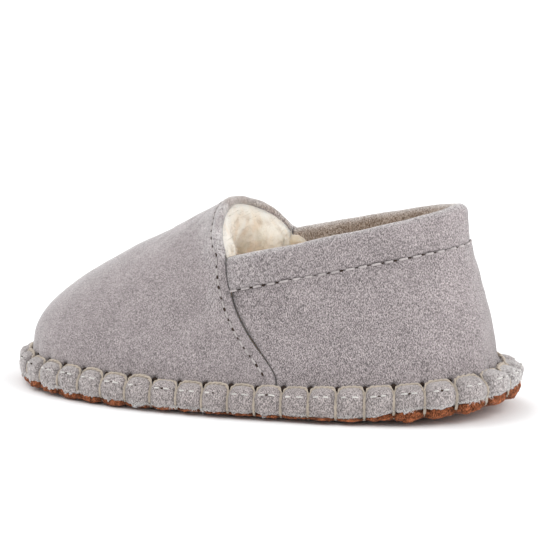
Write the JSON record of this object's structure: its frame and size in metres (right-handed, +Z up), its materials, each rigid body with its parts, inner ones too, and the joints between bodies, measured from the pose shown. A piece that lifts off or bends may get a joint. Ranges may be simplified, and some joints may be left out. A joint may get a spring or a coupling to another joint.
{
  "type": "baby moccasin",
  "caption": "Soft suede baby moccasin for the left foot, with a lapped vamp, a bound collar, a puffed hand-sewn rand and a sheepskin sock.",
  "frame": {"origin": "on the floor, under the middle of the shoe's bounding box", "axes": "+X from toe to heel, -Y to the outer side of the left foot, +Z up"},
  "size_m": [0.1291, 0.0623, 0.0488],
  "materials": {
    "upper_suede": "grey suede with a short mottled nap",
    "band_suede": "grey suede, folded and stitched",
    "rand_suede": "grey suede, puffed between cream hand stitches",
    "sole_suede": "rust-brown suede with a raw edge",
    "sock_wool": "cream sheepskin wool"
  },
  "bodies": {
    "root": {"upper": "upper_suede", "collar_band": "band_suede", "rand": "rand_suede", "outsole": "sole_suede", "insole": "sock_wool"}
  },
  "joints": []
}
